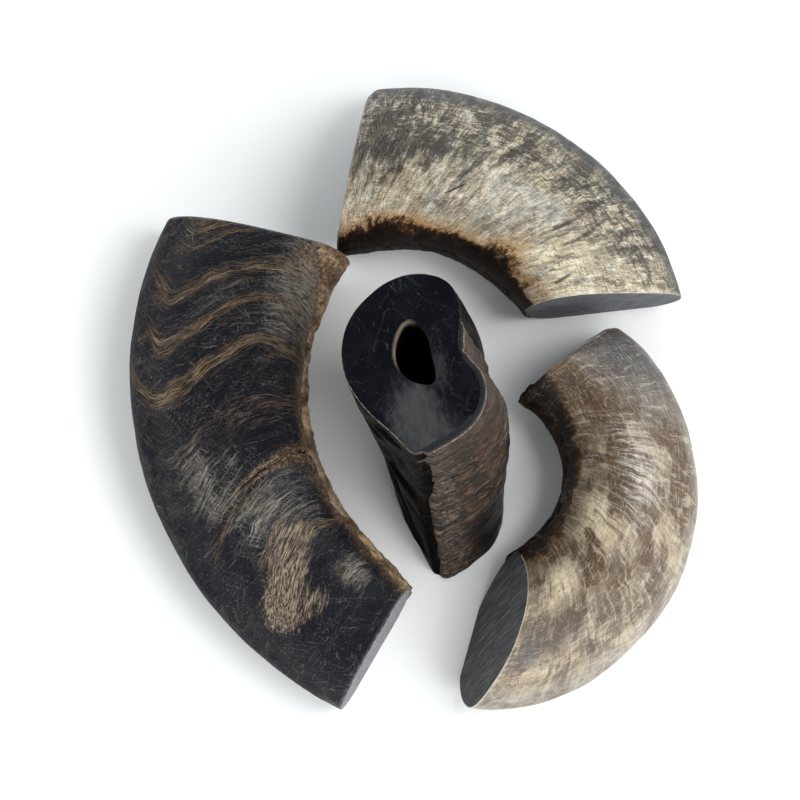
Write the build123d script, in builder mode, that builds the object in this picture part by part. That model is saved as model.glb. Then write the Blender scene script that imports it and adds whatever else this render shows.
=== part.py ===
"""A set of four cut lengths of curved buffalo horn, laid out as a ring on a table.

Three lengths lie on a flattened side and one stands on its oblique sawn end. Each keeps a strip of
rough rind on the hollow side of its bend, where a sanding belt doesn't reach; the rind is a node of
its own, so that it can have its own material. Millimetres, +Z up, and the table is Z = 0.
"""

import os
from math import cos, radians, sin

from build123d import *

os.makedirs("parts", exist_ok=True)

# ---- driving dimensions ----
RIND_BED = 1.7  # how deep a rind strip sits in the sanded horn
RIND_PROUD = 1.0  # how far its rough skin stands out
KEEL_PROUD = 1.8  # the same on the standing length, whose rind is thicker

# Every section is an outline in shares of the horn's size there: across the bend from its inner
# edge (0) to its outer edge (1), then up from the table (0) to the ridge (1). Points dip a little
# below 0 where the belt has left a flat for the length to lie on.
LEFT_OUTLINE = [
    (0.00, 0.46), (0.03, 0.74), (0.12, 0.94), (0.32, 1.00), (0.60, 0.97), (0.84, 0.80),
    (0.98, 0.50), (0.98, 0.24), (0.86, 0.02), (0.55, -0.05), (0.25, -0.04), (0.05, 0.16),
]  # fmt: skip
UPPER_OUTLINE = [
    (0.00, 0.42), (0.04, 0.74), (0.15, 0.95), (0.34, 1.00), (0.62, 0.92), (0.85, 0.70),
    (0.98, 0.42), (0.97, 0.20), (0.84, 0.02), (0.58, -0.05), (0.30, -0.04), (0.05, 0.14),
]  # fmt: skip
UPPER_FOOT = [
    (0.00, 0.42), (0.04, 0.74), (0.14, 0.96), (0.31, 1.00), (0.60, 0.82), (0.84, 0.60),
    (0.98, 0.34), (0.97, 0.16), (0.84, 0.01), (0.58, -0.05), (0.30, -0.04), (0.05, 0.14),
]  # fmt: skip
RIGHT_OUTLINE = [
    (0.00, 0.40), (0.05, 0.64), (0.17, 0.88), (0.35, 1.00), (0.60, 0.92), (0.84, 0.68),
    (1.00, 0.37), (0.94, 0.15), (0.74, -0.03), (0.48, -0.06), (0.22, 0.01), (0.05, 0.18),
]  # fmt: skip
RIGHT_FOOT = [
    (0.00, 0.38), (0.04, 0.53), (0.16, 0.76), (0.38, 0.98), (0.62, 0.96), (0.85, 0.72),
    (1.00, 0.40), (0.93, 0.17), (0.72, -0.02), (0.46, -0.06), (0.22, 0.02), (0.05, 0.20),
]  # fmt: skip
# The standing length has a keel at its inner edge; this is its top, then its foot
STANDING_OUTLINE = [
    (0.00, 0.37), (0.04, 0.60), (0.11, 0.81), (0.24, 0.93), (0.39, 0.90), (0.53, 0.88),
    (0.72, 0.97), (0.88, 0.96), (1.00, 0.68), (0.96, 0.38), (0.82, 0.12), (0.57, 0.00),
    (0.30, 0.10), (0.10, 0.26),
]  # fmt: skip
STANDING_FOOT = [
    (0.00, 0.10), (0.03, 0.42), (0.10, 0.74), (0.24, 0.94), (0.39, 0.93), (0.53, 0.91),
    (0.72, 0.96), (0.88, 0.90), (1.00, 0.64), (0.97, 0.36), (0.84, 0.14), (0.60, 0.01),
    (0.32, -0.02), (0.10, 0.00),
]  # fmt: skip

# Bends: the inner and outer edges' distances from the bend's axis and the depth, at even angles;
# SIDE is how far along the axis each section starts
LEFT_HOME = Plane((52, 23, 0))
LEFT_ANGLES = (160, 244)
LEFT_INNER = (70, 79, 87, 92.7, 95.5, 103.5)
LEFT_OUTER = (126, 135.5, 140.5, 142.5, 141.5, 138)
LEFT_DEPTH = (32, 32, 32, 31, 29, 27)
LEFT_SIDE = (0, 0, 0, 0, 0, 0)

UPPER_HOME = Plane((-6, 1, 0))
UPPER_ANGLES = (122, 6)
UPPER_INNER = (52, 43, 44, 44.3, 46, 48)
UPPER_OUTER = (84, 93.5, 95.5, 95.5, 94.5, 89)
UPPER_DEPTH = (32, 32, 32, 31, 30, 29)
UPPER_SIDE = (0, 0, 0, 0, 0, 0)

RIGHT_HOME = Plane((11, -23, 0))
RIGHT_ANGLES = (60, -95)
RIGHT_INNER = (28, 30.5, 33.5, 34, 32.5, 31.5, 32)
RIGHT_OUTER = (52, 68.5, 72.5, 75.8, 76.3, 75, 69)
RIGHT_DEPTH = (26, 27, 28, 29, 28, 27, 25)
RIGHT_SIDE = (0, 0, 0, 0, 0, 0, 0)

STANDING_TOP = 75  # the height of its sawn top face
STANDING_RADIUS = 110
STANDING_HOME = Plane(
    origin=(22.6, -137.2, STANDING_TOP), x_dir=(-0.3, 0.954, 0), z_dir=(0.954, 0.3, 0)
)
STANDING_ANGLES = (6, -62)
STANDING_INNER = (109, 110.5, 111.5, 112, 112, 112)
STANDING_OUTER = (160, 158, 156, 154, 152, 150)
STANDING_DEPTH = (37.5, 39.5, 38.5, 31, 27, 25)
STANDING_SIDE = (0, 0.5, 4, 6, 6, 6)

# Saw cuts: a line along the foot of each, with the waste to its right, and how far the sawn face
# leans back from upright, in degrees
LEFT_ENDS = [((-20.5, 39.5), (-71.5, 52), -1), ((-20.5, -94.5), (-0.5, -60), 2)]
UPPER_ENDS = [((-13, 96), (-22.8, 44), 0), ((34, 24), (81.5, 29.5), 0)]
RIGHT_ENDS = [((57, 16.5), (32.3, -2.5), -1), ((24.2, -48), (14.2, -83.5), 26)]

# The hollow core: a teardrop, pointed towards the inner side, that runs out 33 mm down the bend
BORE_OUTLINE = [(0.36, 0.54), (0.50, 0.37), (0.64, 0.40), (0.74, 0.55), (0.66, 0.63), (0.50, 0.63)]
BORE_STEPS = [(4, 1.05), (0, 1.0), (-7, 0.75), (-14, 0.3)]  # an angle, then a share of its size
BORE_MIDDLE = (0.55, 0.52)


def station(home, angle):
    """The plane through the bend's axis at this angle; its X runs outwards, its Y up the axis."""
    outwards = home.x_dir * cos(radians(angle)) + home.y_dir * sin(radians(angle))
    return Plane(origin=home.origin, x_dir=outwards, z_dir=outwards.cross(home.z_dir))


def sections(home, angles, inner, outer, depth, side, head, foot):
    """Each station's plane, and its outline's points on it in millimetres."""
    first, last = angles
    steps = len(inner) - 1
    for i, (near, far, deep, base) in enumerate(zip(inner, outer, depth, side)):
        points = [
            (
                near + (s0 + (s1 - s0) * i / steps) * (far - near),
                base + (t0 + (t1 - t0) * i / steps) * deep,
            )
            for (s0, t0), (s1, t1) in zip(head, foot)
        ]
        yield station(home, first + (last - first) * i / steps), points


def pushed(points, i, distance):
    """A point of a closed outline, moved outwards along the outline's normal."""
    (ax, ay), (x, y), (bx, by) = points[i - 1], points[i], points[(i + 1) % len(points)]
    along = Vector(bx - ax, by - ay).normalized()
    return (x - along.Y * distance, y + along.X * distance)


def horn(*bend):
    """The sanded length, still too long at both ends."""
    with BuildPart() as blank:
        for plane, points in sections(*bend):
            with BuildSketch(plane):
                with BuildLine():
                    Spline(points, periodic=True)
                make_face()
        loft()
    return blank.part


def rind(*bend, first, last, proud):
    """A strip along the inner side, over the outline's points from first (may be -1) to last."""
    with BuildPart() as strip:
        for plane, points in sections(*bend):
            skin = [pushed(points, i, proud) for i in range(first, last + 1)]
            bed = [pushed(points, i, -RIND_BED) for i in range(first, last + 1)]
            with BuildSketch(plane):
                with BuildLine():
                    Spline(skin)
                    Line(skin[-1], bed[-1])
                    Spline(bed[::-1])
                    Line(bed[0], skin[0])
                make_face()
        loft()
    return strip.part


def offcut(start, end, lean):
    """The block that a saw takes off to the right of a line on the table, leaning back over it."""
    (ax, ay), (bx, by) = start, end
    along = Vector(bx - ax, by - ay, 0)
    off = Vector(along.Y, -along.X, 0).normalized() * cos(radians(lean))
    off = off + Vector(0, 0, 1) * sin(radians(lean))
    middle = ((ax + bx) / 2, (ay + by) / 2, 0)
    with BuildPart() as block:
        with BuildSketch(Plane(origin=middle, x_dir=along, z_dir=off)):
            Rectangle(along.length + 40, 120)
        extrude(amount=60)
    return block.part


def cut_set(bend, ends, first, last, top=60, proud=RIND_PROUD):
    """The horn and its strip of rind, both sawn to length and flattened where they lie."""
    long_strip = rind(*bend, first=first, last=last, proud=proud)
    with BuildPart() as body:
        add(horn(*bend))
        for end in ends:
            add(offcut(*end), mode=Mode.SUBTRACT)
        split(bisect_by=Plane.XY.offset(top), keep=Keep.BOTTOM)
        split(bisect_by=Plane.XY, keep=Keep.TOP)
        add(long_strip, mode=Mode.SUBTRACT)
    with BuildPart() as strip:
        add(long_strip)
        for end in ends:
            add(offcut(*end), mode=Mode.SUBTRACT)
        split(bisect_by=Plane.XY.offset(top), keep=Keep.BOTTOM)
        split(bisect_by=Plane.XY, keep=Keep.TOP)
    return body, strip


LEFT_BEND = (
    LEFT_HOME, LEFT_ANGLES, LEFT_INNER, LEFT_OUTER, LEFT_DEPTH, LEFT_SIDE,
    LEFT_OUTLINE, LEFT_OUTLINE,
)  # fmt: skip
UPPER_BEND = (
    UPPER_HOME, UPPER_ANGLES, UPPER_INNER, UPPER_OUTER, UPPER_DEPTH, UPPER_SIDE,
    UPPER_OUTLINE, UPPER_FOOT,
)  # fmt: skip
RIGHT_BEND = (
    RIGHT_HOME, RIGHT_ANGLES, RIGHT_INNER, RIGHT_OUTER, RIGHT_DEPTH, RIGHT_SIDE,
    RIGHT_OUTLINE, RIGHT_FOOT,
)  # fmt: skip
STANDING_BEND = (
    STANDING_HOME, STANDING_ANGLES, STANDING_INNER, STANDING_OUTER, STANDING_DEPTH,
    STANDING_SIDE, STANDING_OUTLINE, STANDING_FOOT,
)  # fmt: skip

# ---- the four lengths ----
left_horn, left_horn_rind = cut_set(LEFT_BEND, LEFT_ENDS, -1, 1)
upper_horn, upper_horn_rind = cut_set(UPPER_BEND, UPPER_ENDS, -1, 1)
right_horn, right_horn_rind = cut_set(RIGHT_BEND, RIGHT_ENDS, -1, 1)
standing_blank, standing_horn_rind = cut_set(
    STANDING_BEND, [], 0, 4, top=STANDING_TOP, proud=KEEL_PROUD
)

with BuildPart() as bore:
    for angle, share in BORE_STEPS:
        with BuildSketch(station(STANDING_HOME, angle)):
            with BuildLine():
                Spline(
                    [
                        (
                            STANDING_RADIUS + 49 * (BORE_MIDDLE[0] + share * (s - BORE_MIDDLE[0])),
                            38 * (BORE_MIDDLE[1] + share * (t - BORE_MIDDLE[1])),
                        )
                        for s, t in BORE_OUTLINE
                    ],
                    periodic=True,
                )
            make_face()
    loft()

with BuildPart() as standing_horn:
    add(standing_blank.part)
    add(bore.part, mode=Mode.SUBTRACT)

# ---- named parts, written one file each ----
left_horn.part.label = "left_horn"
left_horn_rind.part.label = "left_horn_rind"
upper_horn.part.label = "upper_horn"
upper_horn_rind.part.label = "upper_horn_rind"
right_horn.part.label = "right_horn"
right_horn_rind.part.label = "right_horn_rind"
standing_horn.part.label = "standing_horn"
standing_horn_rind.part.label = "standing_horn_rind"

export_step(left_horn.part, "parts/left_horn.step")
export_step(left_horn_rind.part, "parts/left_horn_rind.step")
export_step(upper_horn.part, "parts/upper_horn.step")
export_step(upper_horn_rind.part, "parts/upper_horn_rind.step")
export_step(right_horn.part, "parts/right_horn.step")
export_step(right_horn_rind.part, "parts/right_horn_rind.step")
export_step(standing_horn.part, "parts/standing_horn.step")
export_step(standing_horn_rind.part, "parts/standing_horn_rind.step")
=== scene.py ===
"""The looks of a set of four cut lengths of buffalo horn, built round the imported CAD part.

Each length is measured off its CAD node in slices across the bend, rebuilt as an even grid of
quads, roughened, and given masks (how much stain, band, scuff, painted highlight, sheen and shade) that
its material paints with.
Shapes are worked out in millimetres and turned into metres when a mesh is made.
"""

import math

import bmesh
import bpy
import numpy as np
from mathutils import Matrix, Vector
from mathutils.bvhtree import BVHTree


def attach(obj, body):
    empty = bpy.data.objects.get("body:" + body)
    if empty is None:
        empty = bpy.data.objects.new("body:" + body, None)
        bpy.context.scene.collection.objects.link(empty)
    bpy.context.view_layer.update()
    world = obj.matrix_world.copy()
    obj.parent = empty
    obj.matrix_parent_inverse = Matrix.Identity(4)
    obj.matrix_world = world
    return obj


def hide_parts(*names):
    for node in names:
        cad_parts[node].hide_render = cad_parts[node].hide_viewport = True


MM = 0.001
UP = np.array([0.0, 0.0, 1.0])
OVER_TOP = 0.62  # the share of a slice's girth that counts as reached over its top
MIDDLE = 0.45  # how far up a lying length's depth the search for each slice's middle starts
TOUCHING = 0.05  # how near to a surface the rind has to lie to be what shows there
ROUNDING = (0.1, 0.25, 0.45, 0.7, 1.0)  # the shares of a sawn edge's rounding that have a row
END_ZONE = 12  # how far from a sawn face its rounding can reach along a length
HUB_GAP = 0.94  # how far in towards its middle a closed face's last ring lies

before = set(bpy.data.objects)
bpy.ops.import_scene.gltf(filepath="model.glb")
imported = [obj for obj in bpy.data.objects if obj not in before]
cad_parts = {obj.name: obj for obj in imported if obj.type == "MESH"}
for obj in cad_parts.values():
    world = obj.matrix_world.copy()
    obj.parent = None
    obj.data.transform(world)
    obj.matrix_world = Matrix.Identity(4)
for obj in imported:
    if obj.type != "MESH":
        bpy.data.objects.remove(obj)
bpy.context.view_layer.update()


# ---- numbers and noise ----
def ease(value, low, high):
    """0 below low, 1 above high and smooth between; low may be the larger."""
    t = np.clip((value - low) / (high - low), 0, 1)
    return t * t * (3 - 2 * t)


def bump(value, middle, width):
    """1 at the middle, falling smoothly to 0 at a width to either side."""
    return ease(np.abs(value - middle), width, 0)


def noise(points, size, seed, octaves=3, gain=0.5):
    """A smooth random field from about -1 to 1, with features `size` across."""
    table = np.random.default_rng(seed).random((32, 32, 32)) * 2 - 1
    total, weight, strength = 0.0, 0.0, 1.0
    p = np.asarray(points, float) / size + 7.3
    for _ in range(octaves):
        cell = np.floor(p).astype(int)
        f = p - cell
        f = f * f * (3 - 2 * f)
        layer = 0.0
        for step in np.ndindex(2, 2, 2):
            x, y, z = ((cell[..., k] + step[k]) % 32 for k in range(3))
            a, b, c = (f[..., k] if step[k] else 1 - f[..., k] for k in range(3))
            layer = layer + table[x, y, z] * (a * b * c)
        total = total + layer * strength
        weight += strength
        strength *= gain
        p = p * 2.03 + 11.7
    return total / weight * 1.6


def curve_distance(points, path):
    """How far each 2-D point is from a line through the path's points."""
    nearest = np.full(points.shape[:-1], 1e9)
    for a, b in zip(path[:-1], path[1:]):
        a, b = np.array(a, float), np.array(b, float)
        span = b - a
        t = np.clip(((points - a) @ span) / (span @ span), 0, 1)
        gap = points - a - t[..., None] * span
        nearest = np.minimum(nearest, np.hypot(gap[..., 0], gap[..., 1]))
    return nearest


# ---- slices: each is a middle, a direction across the bend and one up or round it ----
def turned(home, point):
    """A plan point as an angle and a distance about a bend's centre."""
    x, y = point[0] - home[0], point[1] - home[1]
    return math.atan2(y, x), math.hypot(x, y)


def fan(home, start, end, leans, depth):
    """Slices of a lying length, from its first sawn face to its last, fanned about home.

    Each end is its inner and its outer point in plan, and leans are those of the faces, in
    radians, positive where the face's top lies further back along the length.
    """
    ends = []
    for a, b in zip(start, end):
        (angle_a, reach_a), (angle_b, reach_b) = turned(home, a), turned(home, b)
        turn = (angle_b - angle_a + math.pi) % (2 * math.pi) - math.pi
        ends.append((angle_a, turn, reach_a, reach_b))

    def slice_at(u):
        plan = []
        for angle, turn, reach_a, reach_b in ends:
            here, reach = angle + turn * u, reach_a + (reach_b - reach_a) * u
            plan.append(np.array([home[0] + reach * math.cos(here), home[1] + reach * math.sin(here), 0]))
        across = (plan[1] - plan[0]) / np.linalg.norm(plan[1] - plan[0])
        onward = np.cross(UP, across) * (1 if ends[0][1] > 0 else -1)
        lean = leans[0] + (leans[1] - leans[0]) * u
        up = UP * math.cos(lean) + onward * math.sin(lean)
        return (plan[0] + plan[1]) / 2 + up * depth * MIDDLE, across, up

    return slice_at


def stack(home, outwards, sideways, radius, offset, top):
    """Level slices of the standing length, from its top face down to its foot."""
    outwards, sideways = np.array(outwards), np.array(sideways)

    def slice_at(u):
        drop = top * u
        middle = np.array([*home, top - drop]) + outwards * math.sqrt(radius**2 - drop**2)
        return middle + sideways * (offset + 4 * u), outwards, sideways

    return slice_at


class Skin:
    """A node's outer surface, for rays that come in from outside or go out from within."""

    REACH = 42.0

    def __init__(self, *names):
        points, faces = [], []
        for name in names:
            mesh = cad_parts[name].data
            first = len(points)
            points += [v.co / MM for v in mesh.vertices]
            faces += [[first + i for i in p.vertices] for p in mesh.polygons]
        self.tree = BVHTree.FromPolygons(points, faces)

    def reach(self, middle, way):
        """How far out the surface lies from the middle, or None where there is none."""
        start = Vector(middle + way * self.REACH)
        distance = self.tree.ray_cast(start, Vector(-way), self.REACH)[3]
        return None if distance is None else self.REACH - distance

    def first(self, middle, way):
        """How far out the first surface lies."""
        return self.tree.ray_cast(Vector(middle), Vector(way), self.REACH)[3]

    def centred(self, middle, across, up, probe):
        """The middle, moved half way between the surfaces on either hand, twice over."""
        for _ in range(2):
            for way in (across, up):
                ahead, behind = probe(middle, way), probe(middle, -way)
                if ahead is not None and behind is not None:
                    middle = middle + way * (ahead - behind) / 2
        return middle


def loop_of(probe, middle, across, up, count, rays=360, strip=None, sink=0.0):
    """Points round one slice at even spacing, from its inner edge, over its top and back.

    Where the strip of rind is what shows, the surface is sunk to lie just under the rind.
    """
    turn = math.pi - np.arange(rays) * 2 * math.pi / rays
    ways = np.cos(turn)[:, None] * across + np.sin(turn)[:, None] * up
    reach = np.array([probe(middle, way) or np.nan for way in ways])
    good = np.isfinite(reach)
    reach = np.interp(np.arange(rays), np.flatnonzero(good), reach[good], period=rays)
    if strip is not None:
        skin = np.array([strip.reach(middle, way) or 0.0 for way in ways])
        covered = (skin > reach - TOUCHING).astype(float)
        reach = reach - covered * sink
        spread = np.ones(7) / 7
        near = np.convolve(np.r_[covered[-3:], covered, covered[:3]], spread, "valid")
        smooth = np.convolve(np.r_[reach[-3:], reach, reach[:3]], spread, "valid")
        reach = np.where(np.abs(near - 0.5) < 0.49, smooth, reach)
    ring = middle + ways * reach[:, None]
    closed = np.vstack([ring, ring[:1]])
    walked = np.concatenate([[0], np.cumsum(np.linalg.norm(np.diff(closed, axis=0), axis=1))])
    stops = np.arange(count) * walked[-1] / count
    return np.stack([np.interp(stops, walked, closed[:, k]) for k in range(3)], axis=1)


def stops_along(length, step, edge):
    """Distances along a length: close together in the rounding at either end, even between."""
    near = np.array([0, *ROUNDING]) * edge
    inner = np.linspace(edge, length - edge, max(2, round((length - 2 * edge) / step)))
    return np.concatenate([near[:-1], inner, (length - near)[-2::-1]])


def measure(name, slice_at, length, columns, step, edge, sink):
    """A length's shape: the grid of its surface, and the middle and directions of each slice."""
    skin, strip = Skin(name, name + "_rind"), Skin(name + "_rind")
    stops = stops_along(length, step, edge)
    inset = 0.03
    shares = inset / length + (1 - 2 * inset / length) * stops / length
    grid, frames = [], []
    for u in shares:
        middle, across, up = slice_at(u)
        middle = skin.centred(middle, across, up, skin.reach)
        grid.append(loop_of(skin.reach, middle, across, up, columns, strip=strip, sink=sink))
        frames.append((middle, across, up))
    shape = dict(zip(("middle", "across", "up"), np.array(frames).transpose(1, 0, 2)))
    return {"grid": np.array(grid), "stops": stops, "length": length, **shape}


def shares_of(shape, points):
    """Where points of a slice-by-slice array lie: along, across and up, in millimetres."""
    away = points - shape["middle"][:, None]
    across = np.einsum("ijk,ik->ij", away, shape["across"])
    up = np.einsum("ijk,ik->ij", away, shape["up"])
    along = np.broadcast_to(shape["stops"][:, None], across.shape)
    return np.stack([along, across, up], axis=-1)


def around(shape):
    """Distance round each slice from its inner edge, positive over the top."""
    grid = shape["grid"]
    step = np.linalg.norm(np.roll(grid, -1, axis=1) - grid, axis=2)
    walked = np.concatenate([np.zeros((len(grid), 1)), np.cumsum(step, axis=1)[:, :-1]], axis=1)
    whole = step.sum(axis=1, keepdims=True)
    return np.where(walked > whole * OVER_TOP, walked - whole, walked)


def outward(grid):
    """Each grid point's unit normal."""
    ahead = np.gradient(grid, axis=0)
    round_ = np.roll(grid, -1, axis=1) - np.roll(grid, 1, axis=1)
    normal = np.cross(round_, ahead)
    normal /= np.linalg.norm(normal, axis=2, keepdims=True) + 1e-12
    middle = grid.mean(axis=1, keepdims=True)
    if (normal * (grid - middle)).sum() < 0:
        normal = -normal
    return normal


# ---- meshes ----
def strip_faces(first, rows, columns, closed=True):
    """Quads between neighbouring rows of a grid whose first vertex is number `first`."""
    i = np.arange(rows - 1)[:, None] * columns
    j = np.arange(columns if closed else columns - 1)[None, :]
    k = (j + 1) % columns
    quads = np.stack([i + j, i + k, i + columns + k, i + columns + j], axis=-1)
    return quads.reshape(-1, 4) + first


def bridge(ring_a, ring_b):
    """Quads between two rings of vertex numbers."""
    return np.stack([ring_a, np.roll(ring_a, -1), np.roll(ring_b, -1), ring_b], axis=-1)


def make_mesh(name, points, quads, fans, values):
    """A smooth mesh, in metres, from points, quads, (ring, hub) fans and per-point values."""
    points = np.maximum(np.asarray(points, float), [-np.inf, -np.inf, 0.0])
    faces = [quads]
    for ring, hub in fans:
        faces.append(np.stack([ring, np.roll(ring, -1), np.full(len(ring), hub)], axis=-1))
    mesh = bpy.data.meshes.new(name)
    mesh.vertices.add(len(points))
    mesh.vertices.foreach_set("co", (points * MM).astype(np.float32).ravel())
    corners = np.concatenate([f.ravel() for f in faces]).astype(np.int32)
    sizes = np.concatenate([np.full(len(f), f.shape[1]) for f in faces])
    mesh.loops.add(len(corners))
    mesh.loops.foreach_set("vertex_index", corners)
    mesh.polygons.add(len(sizes))
    starts = np.concatenate([[0], np.cumsum(sizes)[:-1]]).astype(np.int32)
    mesh.polygons.foreach_set("loop_start", starts)
    mesh.polygons.foreach_set("use_smooth", np.ones(len(sizes), bool))
    for key, value in values.items():
        kind, field = ("FLOAT_VECTOR", "vector") if np.ndim(value) == 2 else ("FLOAT", "value")
        layer = mesh.attributes.new(key, kind, "POINT")
        layer.data.foreach_set(field, np.asarray(value, np.float32).ravel())
    mesh.update(calc_edges=True)
    mesh.validate()
    face_out(mesh)
    thing = bpy.data.objects.new(name, mesh)
    bpy.context.scene.collection.objects.link(thing)
    return thing


def face_out(mesh):
    """Turns every face outwards."""
    work = bmesh.new()
    work.from_mesh(mesh)
    bmesh.ops.recalc_face_normals(work, faces=work.faces)
    work.to_mesh(mesh)
    work.free()


def rounded(along, deep, radius):
    """A square corner's (distance along, depth) pair, brought onto a quarter circle."""
    x, y = along - radius, deep - radius
    size = np.hypot(x, y)
    inside = (x < 0) & (y < 0) & (size > radius)
    shrink = np.where(inside, radius / np.maximum(size, 1e-9), 1.0)
    return np.where(inside, radius + x * shrink, along), np.where(inside, radius + y * shrink, deep)


class Length:
    """One cut length as a closed mesh: its side, its two sawn faces and perhaps a bore."""

    def __init__(self, shape, corner, relief):
        """corner(end, flow) gives the rounding's radius at each point; relief, the side's relief."""
        self.shape = shape
        grid, middle = shape["grid"], shape["middle"]
        rows, columns = grid.shape[:2]
        self.flow = shares_of(shape, grid)
        self.round = around(shape)
        self.columns = columns
        side = grid + outward(grid) * relief(self)[..., None]
        onward = np.cross(shape["across"], shape["up"])
        heading = middle[-1] - middle[0]
        if (onward.sum(axis=0) @ heading) < 0:
            onward = -onward
        for end, back in ((0, 1), (1, -1)):
            near = shape["stops"] if end == 0 else shape["length"] - shape["stops"]
            face = 0 if end == 0 else rows - 1
            normal = onward[face] * back
            gap = (grid - middle[face]) @ normal
            radius = corner(end, self.flow)
            along, deep = rounded(gap, np.zeros_like(gap), radius)
            close = (near < END_ZONE)[:, None] & (gap < radius)
            inwards = middle[:, None] - grid
            inwards -= (inwards @ normal)[..., None] * normal
            inwards /= np.linalg.norm(inwards, axis=2, keepdims=True)
            moved = side + normal * (along - gap)[..., None] + inwards * deep[..., None]
            side = np.where(close[..., None], moved, side)
        self.points = [side.reshape(-1, 3)]
        self.quads = [strip_faces(0, rows, columns)]
        self.fans = []
        self.flows = [self.flow.reshape(-1, 3)]
        self.rounds = [self.round.ravel()]
        self.caps = [np.zeros(rows * columns)]
        self.count = rows * columns
        self.onward = onward
        self.rims = [np.arange(columns), (rows - 1) * columns + np.arange(columns)]
        self.corner = corner

    def add(self, ring, flow, away, cap, previous):
        """One more ring of vertices, joined to the previous one."""
        numbers = self.count + np.arange(len(ring))
        self.points.append(ring)
        self.flows.append(flow)
        self.rounds.append(away)
        self.caps.append(np.full(len(ring), cap))
        self.quads.append(bridge(previous, numbers))
        self.count += len(ring)
        return numbers

    def hub(self, point, flow, cap, previous):
        """A last vertex that closes a ring."""
        self.points.append(point[None])
        self.flows.append(flow[None])
        self.rounds.append(np.zeros(1))
        self.caps.append(np.full(1, cap))
        self.fans.append((previous, self.count))
        self.count += 1

    def cap(self, end, step, saw, hole=None):
        """A sawn face: rings from the rim inwards, to its middle or to a hole's rim.

        saw(flow) is how far the face stands out along the length.
        """
        face = 0 if end == 0 else -1
        grid, middle = self.shape["grid"][face], self.shape["middle"][face]
        normal = self.onward[face] * (1 if end == 0 else -1)
        flow, away = self.flow[face], self.round[face]
        goal = middle[None] if hole is None else hole
        span = np.linalg.norm(grid - goal, axis=1)
        radius = self.corner(end, self.flow)[face]
        largest = radius.max() * 1.02
        rings = max(4, int((np.median(span) - largest) / step))
        previous = self.rims[end]
        last = 1.0 if hole is not None else HUB_GAP
        for k in range(len(ROUNDING) + rings):
            if k < len(ROUNDING):
                share = ROUNDING[k] * largest / span
            else:
                t = (k - len(ROUNDING) + 1) / rings
                share = largest / span + (last - largest / span) * t
            share = np.clip(share, 0, 1)[:, None]
            flat = grid + (goal - grid) * share
            deep = share[:, 0] * span
            along, inward = rounded(np.zeros_like(deep), deep, radius)
            inwards = (goal - grid) / span[:, None]
            ring_flow = flow * (1 - share)
            ring_flow[:, 0] = flow[:, 0]
            away_flat = flat - middle
            ring_flow[:, 1] = away_flat @ self.shape["across"][face]
            ring_flow[:, 2] = away_flat @ self.shape["up"][face]
            lift = saw(ring_flow) * ease(deep, 0, 1.5)
            ring = flat + inwards * (inward - deep)[:, None] + normal * (along - lift)[:, None]
            previous = self.add(ring, ring_flow, away, 1.0, previous)
        if hole is None:
            centre = np.array([flow[0, 0], 0.0, 0.0])
            lift = saw(centre[None])[0]
            self.hub(middle - normal * lift, centre, 1.0, previous)
        return previous

    def finish(self, name, masks):
        """The object, with its flow, its cap and whatever the masks give."""
        points = np.concatenate(self.points)
        flow = np.concatenate(self.flows)
        away, cap = np.concatenate(self.rounds), np.concatenate(self.caps)
        values = {"flow": flow, "cap": cap, **masks(points, flow, away, cap, self.shape["length"])}
        return make_mesh(name, points, np.concatenate(self.quads), self.fans, values)


def shell(name, shape, relief, thickness, span, columns, masks):
    """A closed strip of rind over part of a length's side.

    span is the distances round that it lies between, and relief(flow, away) is how far its skin
    stands out of the side.
    """
    grid, normal, away = shape["grid"], outward(shape["grid"]), around(shape)
    flow = shares_of(shape, grid)
    picked = np.linspace(0, 1, columns)
    outer, inner, flows, rounds = [], [], [], []
    want = span[0] + (span[1] - span[0]) * picked
    for i in range(len(grid)):
        order = np.argsort(away[i])
        every = np.hstack([grid[i], normal[i], flow[i]])[order]
        taken = [np.interp(want, away[i][order], column) for column in every.T]
        place, out, here = np.split(np.stack(taken, axis=1), 3, axis=1)
        flows.append(here)
        rounds.append(want)
        lift = relief(here, want)
        outer.append(place + out * lift[:, None])
        inner.append(place + out * (-thickness))
    outer, inner, flows, rounds = (np.array(x) for x in (outer, inner, flows, rounds))
    count = len(outer)
    ring = np.concatenate([outer, inner[:, ::-1]], axis=1)
    ring_flow = np.concatenate([flows, flows[:, ::-1]], axis=1)
    ring_round = np.concatenate([rounds, rounds[:, ::-1]], axis=1)
    width = 2 * columns
    quads = [strip_faces(0, count, width)]
    for row in (0, count - 1):
        numbers = row * width + np.arange(columns)
        partner = row * width + np.arange(width - 1, columns - 1, -1)
        quads.append(np.stack([numbers[:-1], numbers[1:], partner[1:], partner[:-1]], axis=-1))
    points, flow = ring.reshape(-1, 3), ring_flow.reshape(-1, 3)
    deep = np.concatenate([np.zeros_like(rounds), np.ones_like(rounds)], axis=1)
    values = {"flow": flow, "deep": deep.ravel(), **masks(flow, ring_round.ravel())}
    return make_mesh(name, points, np.concatenate(quads), [], values)


# ---- materials ----
def colour(code, alpha=1.0):
    """A #rrggbb colour as linear light."""
    parts = [int(code[i : i + 2], 16) / 255 for i in (1, 3, 5)]
    return (*[c / 12.92 if c <= 0.04045 else ((c + 0.055) / 1.055) ** 2.4 for c in parts], alpha)


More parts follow.
